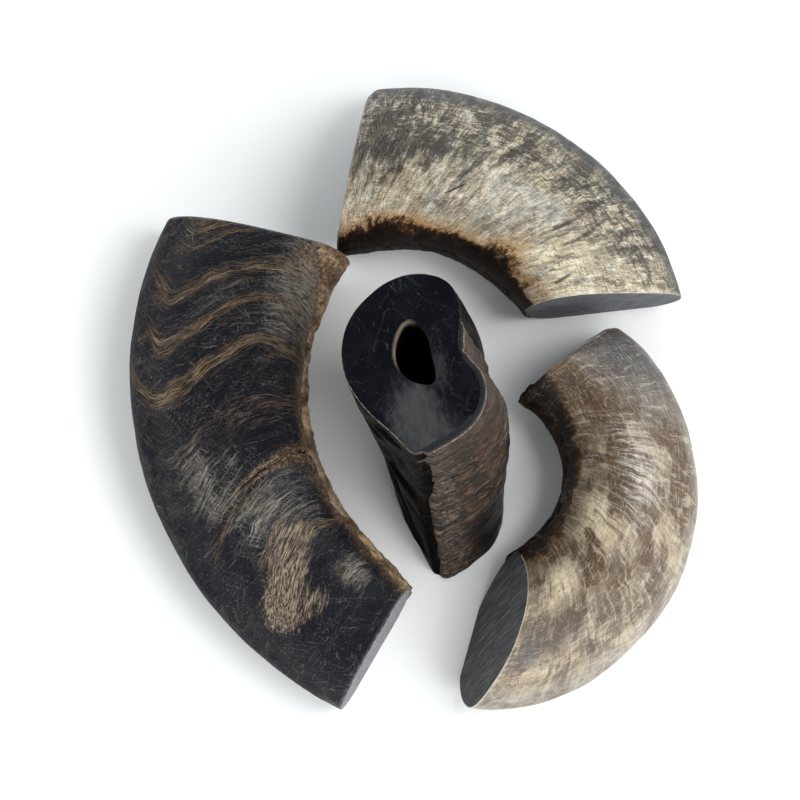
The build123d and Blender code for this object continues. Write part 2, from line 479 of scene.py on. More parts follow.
class Field:
    """A number, vector or colour that varies over a material; what is done to it adds nodes."""

    def __init__(self, look, socket):
        self.look, self.socket = look, socket

    def __add__(self, other):
        return self.look.math("ADD", self, other)

    def __sub__(self, other):
        return self.look.math("SUBTRACT", self, other)

    def __rsub__(self, other):
        return self.look.math("SUBTRACT", other, self)

    def __mul__(self, other):
        return self.look.math("MULTIPLY", self, other)

    def __or__(self, other):
        """The larger of the two."""
        return self.look.math("MAXIMUM", self, other)

    def __abs__(self):
        return self.look.math("ABSOLUTE", self)

    def ease(self, low, high, most=1.0, least=0.0):
        """A smooth step from least, where this is low, to most, where it is high."""
        limits = (low, high, least, most)
        return self.look.make("ShaderNodeMapRange", self, *limits, interpolation_type="SMOOTHSTEP")

    def texture(self, scale, detail, rough, output="Fac"):
        return self.look.make("ShaderNodeTexNoise", self, None, scale, detail, rough, output=output)

    def noise(self, stretch, seed, detail=2.0, rough=0.5):
        """A noise drawn out by its three scales (per millimetre), different for each seed."""
        shift = (seed * 3.1, seed * 1.7, seed * 0.6)
        return self.look.vector("MULTIPLY_ADD", self, stretch, shift).texture(1.0, detail, rough)

    def lines(self, stretch, seed, width, cover):
        """Thin scratches: where a drawn-out noise crosses its middle value.

        cover is the share of the surface where they show.
        """
        line = abs(self.noise(stretch, seed, 1.5) - 0.5).ease(width, width * 0.2)
        patch = self.noise([x * 0.4 for x in stretch], seed + 9, 2.0, 0.6)
        return line * patch.ease(0.62 - cover * 0.3, 0.68 - cover * 0.3)

    def swayed(self, size, amount):
        """This, pushed about over features of a size, so that fibres drawn on it wander."""
        push = self.texture(1 / size, 2.0, 0.5, "Color")
        return self.look.vector("MULTIPLY_ADD", push, (amount,) * 3, self)

    def leaning(self, angle, axis="Z_AXIS"):
        """The flow, turned about one of its axes, so that scratches run aslant."""
        turn = math.radians(angle)
        return self.look.make("ShaderNodeVectorRotate", self, None, None, turn, rotation_type=axis)


class Look:
    """A horn's material. Its base is the colour so far, which each coat paints over."""

    def __init__(self, name):
        self.material = bpy.data.materials.new(name)
        self.material.use_nodes = True
        self.tree = self.material.node_tree
        self.inputs = self.tree.nodes["Principled BSDF"].inputs
        self.values = {}
        self.base = None

    def put(self, socket, value):
        """Links a socket to the value if it is a field, or sets it."""
        if isinstance(value, Field):
            self.tree.links.new(value.socket, socket)
        else:
            socket.default_value = colour(value) if isinstance(value, str) else value

    def make(self, kind, *values, output=0, **settings):
        """A new node's output, for the values of its inputs in order, None for those left alone."""
        node = self.tree.nodes.new(kind)
        for key, value in settings.items():
            setattr(node, key, value)
        for socket, value in zip(node.inputs, values):
            if value is not None:
                self.put(socket, value)
        return Field(self, node.outputs[output])

    def __getitem__(self, name):
        """One of the mesh's own values: its flow is a vector, and the others are numbers."""
        if name not in self.values:
            output = "Vector" if name == "flow" else "Fac"
            self.values[name] = self.make("ShaderNodeAttribute", attribute_name=name, output=output)
        return self.values[name]

    def math(self, kind, *values):
        return self.make("ShaderNodeMath", *values, operation=kind)

    def vector(self, kind, *values):
        return self.make("ShaderNodeVectorMath", *values, operation=kind)

    def ramp(self, value, *stops):
        """A colour for each share of the way: (share, colour) pairs."""
        made = self.make("ShaderNodeValToRGB", value)
        bar = made.socket.node.color_ramp
        while len(bar.elements) < len(stops):
            bar.elements.new(0.5)
        for element, (place, code) in zip(bar.elements, stops):
            element.position, element.color = place, colour(code)
        return made

    def mix(self, share, a, b):
        """The colour a, with a share of the colour b."""
        unused = [None] * 5
        return self.make("ShaderNodeMix", share, *unused, a, b, data_type="RGBA", output=2)

    def coat(self, code, share):
        """Paints a colour over the base where the share is more than 0."""
        self.base = self.mix(share, self.base, code)

    def specular(self, level, field=None):
        """The specular level, as one number and, where it varies, as a field too."""
        self.put(self.inputs["Specular IOR Level"], level)
        if field is not None:
            self.put(self.inputs["Specular IOR Level"], field)

    def done(self, roughness, height, depth):
        """Wires the colour, roughness and bump, and gives the material."""
        self.put(self.inputs["Base Color"], self.base)
        self.put(self.inputs["Roughness"], roughness)
        relief = self.tree.nodes.new("ShaderNodeBump")
        self.put(relief.inputs["Distance"], depth)
        self.put(relief.inputs["Height"], height)
        self.tree.links.new(relief.outputs[0], self.inputs["Normal"])
        return self.material


# ---- the four lengths, in millimetres ----
LEFT = dict(
    home=(52, 23),
    start=((-20.5, 39.5), (-71.5, 52)),
    end=((-0.5, -60), (-20.5, -94.5)),
    leans=(math.radians(-1), math.radians(-2)),
    depth=31,
)
UPPER = dict(
    home=(-6, 1),
    start=((-22.8, 44), (-13, 96)),
    end=((34, 24), (81.5, 29.5)),
    leans=(0, 0),
    depth=31,
)
RIGHT = dict(
    home=(11, -23),
    start=((32.3, -2.5), (66, 23.5)),
    end=((24.2, -48), (14.2, -83.5)),
    leans=(math.radians(-1), math.radians(-26)),
    depth=28,
)
STANDING = dict(
    home=(22.6, -137.2),
    outwards=(-0.3, 0.954, 0),
    sideways=(0.954, 0.3, 0),
    radius=135,
    offset=19,
    top=75,
)
BORE_DEPTH = 31
WIDEST_BORE, CLOSED_BORE = 14, 0.8


def lumpy(shape, lumps, ripples, seed):
    """A sanded side's relief: broad lumps, and faint growth rings across the bend."""
    flow, grid = shares_of(shape, shape["grid"]), shape["grid"]
    rings = noise(flow * [1, 0.12, 0.12], 4.0, seed + 1, 2)
    return noise(grid, 14, seed, 3) * lumps + rings * ripples


def blunt(radius, *corners):
    """The rounding of a length's sawn edges.

    Each corner is an end (0 or 1), a larger radius and what share of it applies at a flow.
    """

    def corner(end, flow):
        size = np.full(flow.shape[:-1], radius, float)
        for at, big, where in corners:
            if at == end:
                size = size + (big - radius) * where(flow)
        return size

    return corner


def sawn(seed):
    """A sawn face's relief: the blade's parallel marks on a face that isn't quite flat."""

    def saw(flow):
        marks = noise(flow * [0, 1.1, 0.25], 0.9, seed, 2)
        return marks * 0.05 + noise(flow, 7, seed + 1, 2) * 0.1

    return saw


def bend_of(stops, values):
    """A smooth curve through a few given places."""
    fine = np.linspace(stops[0], stops[-1], 400)
    line = np.interp(fine, stops, values)
    for _ in range(3):
        line = np.convolve(np.pad(line, 12, mode="edge"), np.ones(25) / 25, "valid")
    return lambda x: np.interp(x, fine, line)


def spot(flow, along, length, across, width):
    """1 at a place on a length's side, falling smoothly to 0 at distances along and across it."""
    return bump(flow[:, 0], along, length) * bump(flow[:, 1], across, width)


def rim_mask(flow, cap, length, width):
    """1 along a length's sawn edges on the side, and 0 on the sawn faces themselves."""
    near = np.minimum(flow[:, 0], length - flow[:, 0])
    return np.where(cap > 0, 0, ease(near, width, 0.1))


# ---- left length ----
# How far each growth line of the left length trails behind its foremost point, across the bend
TRAIL = bend_of([-30, -22, -15, -7, 3, 8, 18, 26, 31], [-2, -8, -13, -12.5, -7.5, -4.5, 1, -10, -17])
# Its bands: place along the growth, half-width, strength, and the stretch across where it shows
BANDS = [
    (4, 2.8, 0.65, -2, 24),
    (10, 1.3, 0.55, -24, 22),
    (25.5, 2.2, 0.75, -20, 26),
    (30, 0.8, 0.45, -26, 12),
    (38.5, 1.8, 0.85, -26, 24),
    (43, 0.7, 0.35, -26, 8),
    (54, 1.7, 1.0, -25, 30),
    (58, 0.6, 0.3, -25, 15),
    (74, 2.0, 0.55, -25, 14),
    (80, 1.2, 0.4, -22, 20),
    (96.5, 1.6, 0.7, -6, 17),
    (113, 1.3, 0.7, -9, 7),
    (122, 1.2, 0.6, -21, -6),
]
# The path of its crack, along and across
LEFT_CRACK = [(87, -27), (84, -21), (82, -17), (83.2, -13), (83.8, -7), (85, -3), (85.5, 0)]
SPREAD = 3.3  # how far a band's fading edge reaches, in half-widths


def left_masks(points, flow, away, cap, length):
    along, across, up = flow.T
    wander = noise(flow, 9, 101, 3) * 1.1 + noise(flow, 2.2, 102, 2) * 0.3
    growth = along - TRAIL(across) + wander
    upper = ease(up, -4, 4) * (1 - cap)
    band = np.zeros(len(flow))
    for place, half, strength, low, high in BANDS:
        here = ease(across, low - 4, low + 4) * ease(across, high + 4, high - 4)
        band = np.maximum(band, bump(growth, place, half * SPREAD) * strength * here)
    patch = ease(noise(flow, 6, 104, 3), -0.5, 0.5)
    fibre = ease(curve_distance(flow[:, :2], [(107, -6), (113, 1), (120, 10)]), 8.5, 2.0)
    fibre = np.maximum(fibre, ease(np.hypot(along - 124.5, across - 2.5), 7, 1.5) * 0.6)
    # The inner band by the rind is partly the horn's smoky haze and partly a painted highlight, where the
    # key light's soft reflection lies.
    inner = bump(along, 22, 36) * ease(across, -5, -18)
    low = spot(flow, 78, 20, 9, 15)
    middle = spot(flow, 98, 24, -4, 20) * 0.75
    white = spot(flow, 128, 9, -12, 7)
    haze = np.clip(inner + low * (0.5 + 0.5 * patch) + middle + white * 0.9, 0, 1)
    haze = np.maximum(haze, 0.35 * bump(growth, 33, 8) * bump(across, 0, 18))
    crack = curve_distance(flow[:, :2], LEFT_CRACK)
    skirt = left_reach(along) + 2 * wander
    lip = ease(away, skirt + 6, skirt + 0.5) * ease(away, -16, -8) * 0.8
    shelf = ease(crack, 2.4 + 5 * ease(across, -6, -20), 0.4)
    shelf = shelf * ease(along - 82, -4, 1) * ease(across, 1, -6)
    lip = np.maximum(np.maximum(lip, shelf), bump(along, 5, 16) * ease(across, -12, -20) * 0.8)
    smoke = spot(flow, 92, 11, -13, 12)
    return {
        "growth": growth,
        "band": band * upper,
        # Partly smoky haze in the horn, partly painted highlight.
        "haze": haze * upper,
        "fibre": fibre * upper,
        "lip": np.clip(lip, 0, 1) * (1 - cap),
        "smoke": smoke * upper,
        # facet: the outer flank and underside; its lighter charcoal is partly the horn's own sanded tone
        # and partly painted sheen, the floor's reflection on the low sides.
        "facet": np.maximum(ease(across, 15, 24), ease(up, -2, -9)) * (1 - cap),
        "crack": np.where(up > 0, ease(crack, 0.75, 0.1), 0) * (1 - cap),
        "rim": rim_mask(flow, cap, length, 0.9),
    }


def left_relief(made):
    flow = made.flow
    crack = curve_distance(flow[..., :2], LEFT_CRACK)
    over = np.where(flow[..., 2] > 0, 1, 0)
    dip = -0.7 * ease(crack, 0.9, 0.1) * over
    shelf = 0.5 * bump(flow[..., 0], 90, 7) * ease(flow[..., 1], -12, -20) * over
    growth = flow[..., 0] - TRAIL(flow[..., 1])
    ridges = np.sin(growth * 2 * math.pi / 13) * 0.08 * over
    return lumpy(made.shape, 0.22, 0.08, 1) + dip + shelf + ridges


def dark_horn():
    look = Look("dark_banded_horn")
    flow, growth = look["flow"], look["growth"]
    across, up = (look.make("ShaderNodeSeparateXYZ", flow, output=k) for k in (1, 2))
    lay = look.make("ShaderNodeCombineXYZ", growth, across, up).swayed(5, 1.6)
    broad = flow.noise((0.09, 0.09, 0.09), 1, 4, 0.6)
    grain = flow.noise((1.1, 0.5, 0.5), 2, 4, 0.7)
    speck = flow.noise((2.6, 2.6, 2.6), 3, 2, 0.7)
    sheaf = lay.noise((0.75, 0.06, 0.06), 4, 4, 0.68)
    thread = lay.noise((2.8, 0.2, 0.2), 5, 4, 0.74)
    scrub = flow.leaning(-50).swayed(4, 2.5).noise((2.4, 0.26, 0.26), 16, 4, 0.74)
    look.base = look.ramp(broad, (0.32, "#03050f"), (0.5, "#060914"), (0.68, "#0e0f16"))
    look.coat("#1e1f28", thread.ease(0.5, 0.72, 0.7))
    # Outer flank and underside: lighter charcoal that is partly the facet's own tone and partly painted
    # sheen standing in for reflection.
    plate = flow.swayed(12, 8).noise((0.2, 0.16, 0.16), 6, 5, 0.66)
    facet = look.ramp(plate, (0.36, "#0c0e16"), (0.5, "#1b1c23"), (0.64, "#38332f"))
    facet = look.mix(grain.ease(0.54, 0.7, 0.4), facet, "#4a4a4f")
    share = broad.ease(0.25, 0.6, 0.95, 0.55)
    look.coat(facet, look["facet"] * share)
    smoke = flow.noise((0.25, 0.25, 0.25), 7, 4, 0.6).ease(0.38, 0.62)
    look.coat("#333438", look["smoke"] * smoke * 0.8)
    # Whitish-grey mist: partly smoky haze in the horn, partly painted highlight.
    hazy_highlight = look["haze"]
    haze = hazy_highlight + sheaf * 2.6 - 1.35
    haze = haze.ease(0.1, 0.95) * hazy_highlight.ease(0.0, 0.22)
    highlight_mist = look.ramp(thread, (0.36, "#17161a"), (0.49, "#4d4843"), (0.62, "#a19b91"))
    look.coat(highlight_mist, haze * grain.ease(0.32, 0.6, 1.0, 0.45))
    rubbed = scrub.ease(0.52, 0.66) * hazy_highlight.ease(0.05, 0.6)
    look.coat("#857d70", rubbed * 0.6)
    bands = look["band"]
    band = bands + sheaf * 2.6 - 1.42
    band = band.ease(0.1, 0.95) * bands.ease(0.0, 0.25)
    olive = look.ramp(thread, (0.4, "#0a0808"), (0.48, "#30251c"), (0.56, "#6e5942"), (0.66, "#a58f72"))
    look.coat(olive, band * 0.88)
    bald = flow.noise((0.12, 0.1, 0.1), 8, 3, 0.6).ease(0.42, 0.6, 0.75, 0.1)
    bald = bald * growth.ease(92, 66, 1.0, 0.15)
    look.coat("#54483b", thread.ease(0.53, 0.66) * bald)
    wood = flow.leaning(-61).swayed(6, 1.5).noise((0.24, 2.4, 2.4), 9, 4, 0.72)
    tan = look.ramp(wood, (0.42, "#221b15"), (0.5, "#65574a"), (0.6, "#9a8a76"))
    torn = flow.leaning(-61).swayed(6, 2).noise((0.14, 0.9, 0.9), 10, 5, 0.78)
    torn = torn * 3.6 - 1.85
    ragged = look["fibre"] + torn
    ragged = ragged.ease(0.1, 0.85, 0.94) * look["fibre"].ease(0.0, 0.25)
    look.coat(tan, ragged)
    bark = flow.swayed(3, 1.5).noise((0.9, 1.3, 1.3), 13, 5, 0.75)
    brown = look.ramp(bark, (0.38, "#20160f"), (0.5, "#5b4432"), (0.61, "#a88e70"))
    look.coat(brown, look["lip"] * grain.ease(0.38, 0.58, 0.95, 0.35))
    spots = flow.noise((0.33, 0.33, 0.33), 14, 2, 0.5).ease(0.67, 0.72, 0.55)
    look.coat("#4f3422", spots)
    fine = (
        flow.lines((0.9, 0.09, 0.09), 1, 0.01, 0.45)
        | flow.leaning(40).lines((0.7, 0.08, 0.08), 2, 0.008, 0.35)
        | flow.leaning(-55).lines((0.6, 0.07, 0.07), 3, 0.008, 0.35)
    )
    look.coat("#a49f98", fine * 0.2)
    dust = speck.ease(0.6, 0.72) * broad.ease(0.42, 0.6, 0.7, 0.2)
    look.coat("#8a8478", dust)
    look.coat("#040303", look["crack"] * 0.95)
    saw_marks = flow.noise((0.1, 2.4, 0.5), 15, 4, 0.7)
    face = look.ramp(saw_marks, (0.35, "#47484c"), (0.5, "#6e6f72"), (0.65, "#949597"))
    look.coat(face, look["cap"])
    look.coat("#77787c", look["rim"] * grain.ease(0.35, 0.6, 0.75, 0.15))
    rough = grain.ease(0.3, 0.7, 0.5, 0.34) + haze * 0.2 + look["cap"] * 0.25
    height = grain * 0.5 + thread * 0.9 + scrub * hazy_highlight * 0.6 - fine * 0.4 + saw_marks * look["cap"]
    # The specular level is turned down on the facet, where its sheen is painted into the colour.
    look.specular(0.1, 0.13 - look["facet"] * 0.11)
    return look.done(rough, height, 0.00018)


# ---- upper length ----
def upper_masks(points, flow, away, cap, length):
    along, across, up = flow.T
    side = 1 - cap
    wander = noise(flow * [0.5, 1, 1], 6, 111, 3)
    places = [0, 8, 30, 45, 60, 74, 84, 92, 104, 108]
    reach = np.interp(along, places, [6, 9, 9.5, 8, 9.5, 14, 13, 10, 8, 6])
    stain = ease(away, reach + 7 + wander * 3.5, reach - 3 + wander * 3.5) * ease(away, -28, -16)
    gold = ease(away, reach + 13 + wander * 4, reach + 2 + wander * 3)
    streaks = noise(flow * [1, 0.16, 0.16], 3.4, 112, 3)
    left_end = spot(flow, 15, 26, 9, 13) * 1.2 + ease(along, 56, 26) * ease(across, -18, -2) * 0.5
    middle = bump(along, 50, 30) * ease(across, 0, 14) * 0.75
    right_end = bump(along, 86, 28) * ease(across, 5, 16) * 0.8
    soot = (left_end + middle + right_end) * (0.55 + 0.45 * ease(streaks, -0.4, 0.4))
    blot = spot(flow, 18, 5, 0, 7) + spot(flow, 29, 4, 3, 9) * 0.8
    vein = ease(np.abs(along - 78 + (across - 6) * 0.25 - np.sin(across / 5) * 1.2), 1.0, 0.1)
    other = ease(np.abs(along - 84 + (across - 6) * 0.2 - np.sin(across / 6 + 1) * 1.5), 1.1, 0.1)
    vein = np.maximum(vein * bump(across, 3, 13), other * bump(across, 5, 12))
    whorl = ease(along, 34, 16) * ease(across, -8, 4) + bump(along, 70, 40) * ease(across, 2, 14)
    return {
        "stain": stain * side,
        "gold": gold * side,
        "soot": np.clip(soot + blot * 1.5 + vein * 0.95, 0, 1) * side * ease(up, -6, 0),
        "outer": ease(across, 3, 14) * side,
        "bevel": (ease(across, 21.5, 25.5) + ease(up, -1, -7) * (across > 0)) * side,
        "cool": spot(flow, 58, 34, -2, 20) * side,
        "warm": spot(flow, 96, 26, -10, 18) * side,
        "olive": spot(flow, 46, 24, 10, 13) * side,
        "whorl": whorl * side,
        "nick": upper_nick(flow) * side * (up > 0),
        "rim": rim_mask(flow, cap, length, 0.8),
    }


def upper_nick(flow):
    """Two short gouges in the upper length's top."""
    first = ease(curve_distance(flow[..., :2], [(41.5, -9.5), (44, -6)]), 0.7, 0.2)
    second = ease(curve_distance(flow[..., :2], [(99, -7), (101, -11.5)]), 0.9, 0.3)
    return np.maximum(first, second * 0.85)


def upper_relief(made):
    return lumpy(made.shape, 0.18, 0.07, 11) - 0.35 * upper_nick(made.flow) * (made.flow[..., 2] > 0)


def pale_horn():
    look = Look("pale_streaked_horn")
    flow = look["flow"]
    wavy = flow.swayed(14, 7)
    broad = flow.noise((0.07, 0.09, 0.09), 21, 4, 0.62)
    ring = wavy.noise((0.28, 0.03, 0.03), 22, 4, 0.66)
    streak = wavy.noise((0.7, 0.12, 0.12), 30, 5, 0.76)
    hair = flow.swayed(6, 2.6).noise((2.6, 0.3, 0.3), 23, 3, 0.75)
    weft = flow.swayed(4, 1.2).noise((0.3, 2.2, 2.2), 24, 3, 0.75)
    speck = flow.noise((1.6, 1.6, 1.6), 25, 4, 0.8)
    patch = flow.swayed(8, 6).noise((0.16, 0.11, 0.11), 31, 5, 0.74)
    mottle = flow.swayed(6, 4).noise((0.36, 0.21, 0.21), 33, 6, 0.8)
    look.base = look.ramp(broad, (0.34, "#837965"), (0.5, "#a3977f"), (0.64, "#bdb199"))
    look.coat("#e8d9b8", look["warm"] * 0.9)
    cool = look["cool"] * patch.ease(0.36, 0.6)
    look.coat("#a9adab", cool * 0.8)
    look.coat("#6f6a4e", look["olive"] * patch.ease(0.4, 0.58))
    tint = flow.swayed(10, 6).noise((0.1, 0.08, 0.08), 34, 4, 0.62)
    look.coat("#85704a", tint.ease(0.5, 0.6, 0.5))
    look.coat("#7c8487", tint.ease(0.47, 0.38, 0.5))
    look.coat("#5f594b", ring.ease(0.5, 0.62, 0.6))
    look.coat("#564f40", mottle.ease(0.51, 0.62, 0.65))
    look.coat("#dfd7c4", mottle.ease(0.48, 0.38, 0.6))
    look.coat("#413b30", streak.ease(0.51, 0.63, 0.5))
    look.coat("#e9e3d5", streak.ease(0.46, 0.37, 0.2))
    tan = look.ramp(speck, (0.35, "#755529"), (0.55, "#a98150"), (0.7, "#cfac78"))
    gold = look["gold"] * broad.ease(0.3, 0.6, 1.0, 0.6)
    look.coat(tan, gold)
    lengthwise = flow.swayed(7, 3).noise((0.16, 0.9, 0.9), 35, 5, 0.76)
    lengthwise = (lengthwise * 4.0 - 2.0) * look["outer"]
    soot = look["soot"] + ring * 2.2 - 1.15 + patch * 3.2 - 1.7 + lengthwise + streak - 0.5
    soot = soot.ease(-0.2, 0.85) * look["soot"].ease(0.0, 0.2)
    dark = look.ramp(speck, (0.38, "#060709"), (0.5, "#1f1e1f"), (0.62, "#544e42"))
    look.coat(dark, soot * 0.92)
    whorl = flow.swayed(12, 9).noise((0.6, 0.06, 0.06), 32, 4, 0.62)
    whorl = abs(whorl - 0.51).ease(0.05, 0.012)
    look.coat("#141416", whorl * look["whorl"] * 0.85)
    shade = flow.noise((0.13, 0.13, 0.13), 26, 4, 0.66).ease(0.38, 0.6, 1.0, 0.25)
    look.coat("#3d372c", hair.ease(0.5, 0.63) * shade * 0.7)
    look.coat("#3f382c", weft.ease(0.5, 0.62) * shade * 0.7)
    clear = (1.0 - soot * 0.85) * patch.ease(0.55, 0.42, 1.0, 0.35)
    look.coat("#eee8db", hair.ease(0.46, 0.36, 0.55) * clear)
    look.coat("#e6dfd0", weft.ease(0.45, 0.35, 0.4) * clear)
    look.coat("#2f2a21", speck.ease(0.56, 0.68, 0.6))
    fine = flow.swayed(5, 3).lines((0.7, 0.09, 0.09), 21, 0.01, 0.5)
    slant = flow.leaning(55).swayed(5, 3)
    fine = fine | slant.lines((0.8, 0.1, 0.1), 22, 0.009, 0.4)
    look.coat("#e6e0d4", fine * 0.3)
    feather = flow.swayed(6, 4).noise((0.42, 0.3, 0.3), 27, 6, 0.74)
    stain = look["stain"] + feather * 2.3 - 1.15
    burnt = look.ramp(stain, (0.15, "#80572b"), (0.42, "#3f2612"), (0.75, "#0b0504"))
    burnt = look.mix(hair.ease(0.5, 0.66, 0.45), burnt, "#3f2a1b")
    covers = stain.ease(0.05, 0.55) * look["stain"].ease(0.0, 0.15)
    look.coat(burnt, covers)
    grey = flow.noise((0.5, 0.2, 0.2), 28, 4, 0.6)
    grey = look.ramp(grey, (0.35, "#2b2b2e"), (0.55, "#424243"), (0.7, "#66645f"))
    bevel = look["bevel"] * (1.0 - look["stain"])
    look.coat(grey, bevel * streak.ease(0.25, 0.6, 0.95, 0.6))
    look.coat("#2a241c", look["nick"])
    saw_marks = flow.noise((0.1, 0.22, 2.2), 29, 4, 0.7)
    face = look.ramp(saw_marks, (0.35, "#2f3036"), (0.5, "#484a50"), (0.66, "#6a6c71"))
    look.coat(face, look["cap"])
    look.coat("#a9a293", look["rim"] * speck.ease(0.4, 0.6, 0.7, 0.2))
    rough = speck.ease(0.3, 0.7, 0.62, 0.48) - look["stain"] * 0.12
    height = hair * 0.6 + weft * 0.3 - fine * 0.4 + saw_marks * look["cap"]
    look.specular(0.2, 0.25 - look["stain"] * 0.2)
    return look.done(rough, height, 0.00014)


# ---- right length ----
def right_masks(points, flow, away, cap, length):
    along, across, up = flow.T
    side = 1 - cap
    wander = noise(flow, 5, 121, 3)
    reach = np.interp(along, [0, 12, 30, 60, 85, 98, 104], [16, 14, 9, 6, 8, 10, 6])
    edge = ease(away, reach + 4 + wander * 3, reach - 4 + wander * 2) * ease(away, -30, -14)
    grey = bump(along, 8, 34) * ease(across, 0, 10) + 0.85 * spot(flow, 7, 14, -2, 14)
    grey += 0.9 * spot(flow, 98, 8, 8, 9)
    spots = noise(flow * [0.7, 1, 1], 8, 122, 3)
    brown = ease(spots, 0.0, 0.7) * (0.4 + 0.6 * ease(along, 15, 40)) * (1 - 0.5 * ease(along, 80, 104))
    brown += spot(flow, 38, 16, 16, 8) * 0.7 + spot(flow, 26, 14, -4, 8) * 0.5
    brown += spot(flow, 70, 14, 6, 7) * 0.8 + ease(away, reach + 14, reach + 3) * 0.55
    cream = spot(flow, 62, 16, -10, 12) + spot(flow, 90, 12, -8, 9)
    hatch = spot(flow, 92, 14, 5, 12)
    return {
        "edge": np.clip(edge, 0, 1) * side,
        "grey": np.clip(grey, 0, 1) * side,
        "brown": np.clip(brown, 0, 1) * side,
        "cream": np.clip(cream, 0, 1) * side,
        "hatch": hatch * side,
        # A painted highlight: a pale streak along the ridge where the light glints.
        "gloss": spot(flow, 42, 22, 1, 10) * side,
        # outer: the flank that faces the light from the right; the light grey painted there is painted
        # light and sheen.
        "outer": ease(across, 17, 23) * side,
        "rim": rim_mask(flow, cap, length, 0.8) * (along > length / 2),
    }


def right_relief(made):
    return lumpy(made.shape, 0.3, 0.06, 21)


def taupe_horn():
    look = Look("mottled_horn")
    flow = look["flow"]
    broad = flow.noise((0.1, 0.13, 0.13), 41, 5, 0.62)
    blot = flow.swayed(7, 6).noise((0.3, 0.26, 0.26), 42, 7, 0.8)
    speck = flow.noise((1.3, 1.3, 1.3), 43, 4, 0.76)
    hair = flow.swayed(5, 1.5).noise((0.3, 1.9, 1.9), 44, 4, 0.72)
    growth = flow.swayed(10, 5).noise((0.95, 0.09, 0.09), 48, 4, 0.72)
    look.base = look.ramp(broad, (0.34, "#4b3d2f"), (0.5, "#746451"), (0.62, "#a0907a"))
    look.coat("#aca18c", blot.ease(0.5, 0.62, 0.65))
    cream = look["cream"] * blot.ease(0.36, 0.56, 0.95, 0.35)
    look.coat("#d9c8ab", cream)
    slate = look.ramp(speck, (0.36, "#1f2228"), (0.52, "#3f4145"), (0.66, "#727475"))
    look.coat(slate, look["grey"] * blot.ease(0.34, 0.54, 1.0, 0.65))
    brown = look["brown"] + blot * 2.2 - 1.15
    earth = look.ramp(speck, (0.36, "#1a110a"), (0.5, "#46311d"), (0.64, "#80613a"))
    share = look["brown"].ease(0.0, 0.3, 0.97, 0.45)
    look.coat(earth, brown.ease(0.25, 0.75) * share)
    # Painted highlight along the ridge.
    gloss = look["gloss"] * growth.ease(0.54, 0.44, 0.6, 0.05)
    look.coat("#c8c9c4", gloss)
    look.coat("#43382c", growth.ease(0.51, 0.63, 0.6))
    look.coat("#c4baa8", growth.ease(0.46, 0.36, 0.35))
    look.coat("#41362a", hair.ease(0.52, 0.64, 0.45))
    look.coat("#c8bfae", hair.ease(0.45, 0.35, 0.35))
    cross = flow.leaning(28).swayed(4, 1.0).noise((2.2, 0.3, 0.3), 45, 3, 0.7)
    look.coat("#51483e", look["hatch"] * cross.ease(0.42, 0.58, 0.95, 0.35))
    look.coat("#3b2f26", speck.ease(0.56, 0.68, 0.7))
    look.coat("#cfc7b7", speck.ease(0.4, 0.3, 0.3))
    fine = flow.leaning(20).swayed(6, 3).lines((0.7, 0.09, 0.09), 41, 0.01, 0.42)
    other = flow.leaning(-35).swayed(6, 3)
    fine = (
        fine | other.lines((0.6, 0.08, 0.08), 42, 0.009, 0.42)
        | flow.lines((0.08, 0.7, 0.7), 43, 0.009, 0.4)
    )
    look.coat("#ddd5c6", fine * 0.14)
    dark_lines = flow.leaning(60).swayed(8, 4).lines((0.35, 0.05, 0.05), 44, 0.006, 0.35)
    look.coat("#3a2c20", dark_lines * 0.6)
    torn = flow.swayed(5, 3).noise((0.35, 0.5, 0.5), 46, 6, 0.76)
    edge = look["edge"] + torn * 1.8 - 0.9
    burnt = look.ramp(edge, (0.2, "#85683f"), (0.45, "#463019"), (0.85, "#150e0a"))
    burnt = look.mix(hair.ease(0.5, 0.64, 0.5), burnt, "#0f0a08")
    covers = edge.ease(0.15, 0.6) * look["edge"].ease(0.0, 0.12)
    look.coat(burnt, covers)
    look.coat("#b09c80", fine * look["edge"] * 0.7)
    # Painted light: light grey over the outer flank, standing in for its lit, sheened side.
    look.coat("#9d9992", look["outer"] * blot.ease(0.4, 0.6, 0.6, 0.2))
    saw_marks = flow.leaning(50, "X_AXIS").noise((0.1, 0.1, 1.3), 47, 5, 0.75)
    face = look.ramp(saw_marks, (0.34, "#1c1d20"), (0.5, "#37383a"), (0.66, "#5f6064"))
    look.coat(face, look["cap"])
    look.coat("#c9c1b1", look["rim"] * speck.ease(0.35, 0.6, 0.9, 0.3))
    rough = speck.ease(0.3, 0.7, 0.56, 0.38) + look["cap"] * 0.15
    height = hair * 0.35 + speck * 0.25 + growth * 0.35 - fine * 0.4 + saw_marks * look["cap"]
    look.specular(0.35)
    return look.done(rough, height, 0.00016)


# ---- standing length ----
def standing_masks(points, flow, away, cap, length):
    along, across, up = flow.T
    face = np.where((cap > 0) & (along < 1), 1.0, 0.0)
    fan = ease(np.abs(up + 1 + (across + 10) * 0.1), 7 + np.maximum(-across, 0) * 0.55, 0)
    fan = np.maximum(fan * ease(across, 4, -8), bump(across, -2, 12) * bump(up, 8, 8) * 0.7)
    return {
        "face": face,
        "fan": fan * face,
        "bore": np.where(cap > 1, 1.0, 0.0),
        "rim": rim_mask(flow, cap, length, 0.5) * (1 - bump(away, 20, 24) * (along < 2)),
    }


def standing_relief(made):
    flow = made.flow
    along, across, up = flow[..., 0], flow[..., 1], flow[..., 2]
    wave = np.sin(along / 5.2 + across * 0.25 + noise(flow, 12, 131, 2) * 2.5)
    flank = ease(up, 2, -5) * ease(across, 6, -4) * ease(along, 1, 12)
    return lumpy(made.shape, 0.25, 0.08, 31) + wave * 0.55 * flank


